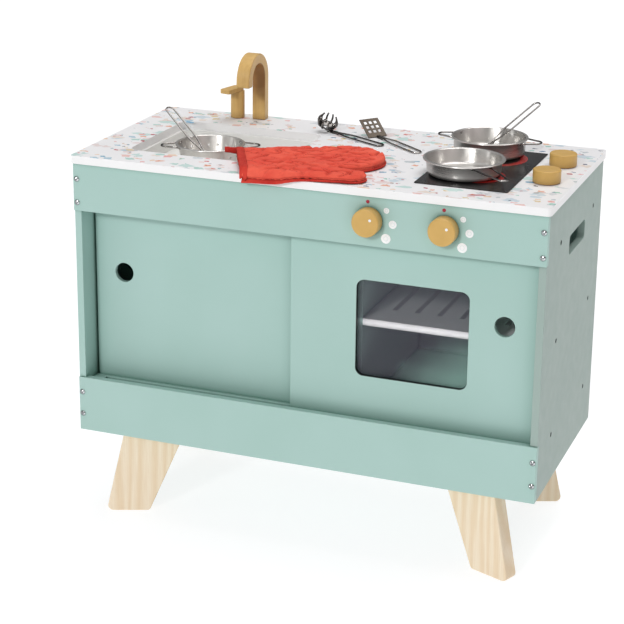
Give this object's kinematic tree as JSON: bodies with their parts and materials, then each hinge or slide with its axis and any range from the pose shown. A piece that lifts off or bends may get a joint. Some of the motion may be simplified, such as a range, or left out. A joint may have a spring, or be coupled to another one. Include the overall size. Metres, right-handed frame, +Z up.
{
  "type": "toy kitchen",
  "caption": "Low play kitchen on splayed wooden legs with two sliding doors, sink, faucet, hob, turning knobs and loose toy cookware.",
  "frame": {"origin": "middle of the outer size, on the floor under the feet", "axes": "+Z up, -Y out of the front with the doors, +X to the right as seen from the front"},
  "size_m": [0.606, 0.3056, 0.5715],
  "materials": {
    "mint_paint": "satin paint on fibreboard",
    "terrazzo_laminate": "printed laminate with coloured chips, satin",
    "white_plastic": "satin",
    "hob_black": "gloss",
    "white_paint": "satin paint",
    "pale_pine": "matt varnish",
    "ochre_paint": "satin paint",
    "screw_steel": "polished",
    "stainless_steel": "polished to fine brushed",
    "clear_acrylic": "clear, faintly grey",
    "coral_cotton": "quilted woven cotton"
  },
  "bodies": {
    "cabinet": {"worktop": "terrazzo_laminate", "sink_basin": "white_plastic", "hob_plate": "hob_black", "side_panel_left": "mint_paint", "side_panel_right": "mint_paint", "back_panel": "mint_paint", "floor_board": "mint_paint", "ceiling_board": "mint_paint", "lower_track": "mint_paint", "upper_track": "mint_paint", "top_fascia": "mint_paint", "bottom_fascia": "mint_paint", "oven_divider": "mint_paint", "oven_shelf": "white_paint", "worktop_cleats": "mint_paint", "leg_front_left": "pale_pine", "leg_front_right": "pale_pine", "leg_rear_left": "pale_pine", "leg_rear_right": "pale_pine", "leg_screws": "screw_steel", "fascia_bolts": "screw_steel", "side_screws": "screw_steel", "faucet_spout": "ochre_paint", "spout_screws": "screw_steel"},
    "left_door": {"left_door": "mint_paint"},
    "right_door": {"right_door": "mint_paint", "oven_window": "clear_acrylic"},
    "oven_knob_left": {"oven_knob_left": "ochre_paint", "oven_knob_left_screw": "screw_steel"},
    "oven_knob_right": {"oven_knob_right": "ochre_paint", "oven_knob_right_screw": "screw_steel"},
    "hob_knob_front": {"hob_knob_front": "ochre_paint", "hob_knob_front_screw": "screw_steel"},
    "hob_knob_rear": {"hob_knob_rear": "ochre_paint", "hob_knob_rear_screw": "screw_steel"},
    "faucet_lever": {"faucet_lever": "ochre_paint", "faucet_lever_post": "ochre_paint", "faucet_lever_screw": "screw_steel"},
    "colander": {"colander": "stainless_steel", "colander_handles": "stainless_steel"},
    "skimmer": {"skimmer_head": "stainless_steel", "skimmer_handle": "stainless_steel"},
    "pot": {"pot": "stainless_steel", "pot_handles": "stainless_steel"},
    "spoon": {"spoon_head": "stainless_steel", "spoon_handle": "stainless_steel"},
    "pan": {"pan": "stainless_steel", "pan_handle": "stainless_steel"},
    "server": {"server_head": "stainless_steel", "server_handle": "stainless_steel"},
    "turner": {"turner_blade": "stainless_steel", "turner_handle": "stainless_steel"},
    "mitt": {"oven_mitt": "coral_cotton", "mitt_loop": "coral_cotton"}
  },
  "joints": [
    {"name": "left_door_slide", "type": "slide", "parent": "cabinet", "child": "left_door", "axis": [1, 0, 0], "range_m": [0, 0.252]},
    {"name": "right_door_slide", "type": "slide", "parent": "cabinet", "child": "right_door", "axis": [-1, 0, 0], "range_m": [0, 0.253]},
    {"name": "oven_knob_left_turn", "type": "hinge", "parent": "cabinet", "child": "oven_knob_left", "pos_m": [0.087, -0.13625, 0.43875], "axis": [0, -1, 0], "continuous": true},
    {"name": "oven_knob_right_turn", "type": "hinge", "parent": "cabinet", "child": "oven_knob_right", "pos_m": [0.1795, -0.13625, 0.43875], "axis": [0, -1, 0], "continuous": true},
    {"name": "hob_knob_front_turn", "type": "hinge", "parent": "cabinet", "child": "hob_knob_front", "pos_m": [0.2705, -0.03075, 0.478], "axis": [0, 0, 1], "continuous": true},
    {"name": "hob_knob_rear_turn", "type": "hinge", "parent": "cabinet", "child": "hob_knob_rear", "pos_m": [0.2705, 0.05175, 0.478], "axis": [0, 0, 1], "continuous": true},
    {"name": "faucet_lever_turn", "type": "hinge", "parent": "cabinet", "child": "faucet_lever", "pos_m": [-0.193, 0.13075, 0.478], "axis": [0, 0, 1], "range_deg": [-60, 50]},
    {"name": "colander_lift", "type": "slide", "parent": "cabinet", "child": "colander", "axis": [0, 0, 1], "range_m": [0, 0.09]},
    {"name": "skimmer_lift", "type": "slide", "parent": "colander", "child": "skimmer", "axis": [0, 0, 1], "range_m": [0, 0.09]},
    {"name": "pot_lift", "type": "slide", "parent": "cabinet", "child": "pot", "axis": [0, 0, 1], "range_m": [0, 0.08]},
    {"name": "spoon_lift", "type": "slide", "parent": "pot", "child": "spoon", "axis": [0, 0, 1], "range_m": [0, 0.08]},
    {"name": "pan_lift", "type": "slide", "parent": "cabinet", "child": "pan", "axis": [0, 0, 1], "range_m": [0, 0.08]},
    {"name": "server_lift", "type": "slide", "parent": "cabinet", "child": "server", "axis": [0, 0, 1], "range_m": [0, 0.08]},
    {"name": "turner_lift", "type": "slide", "parent": "cabinet", "child": "turner", "axis": [0, 0, 1], "range_m": [0, 0.08]},
    {"name": "mitt_lift", "type": "slide", "parent": "cabinet", "child": "mitt", "axis": [0, 0, 1], "range_m": [0, 0.08]}
  ]
}
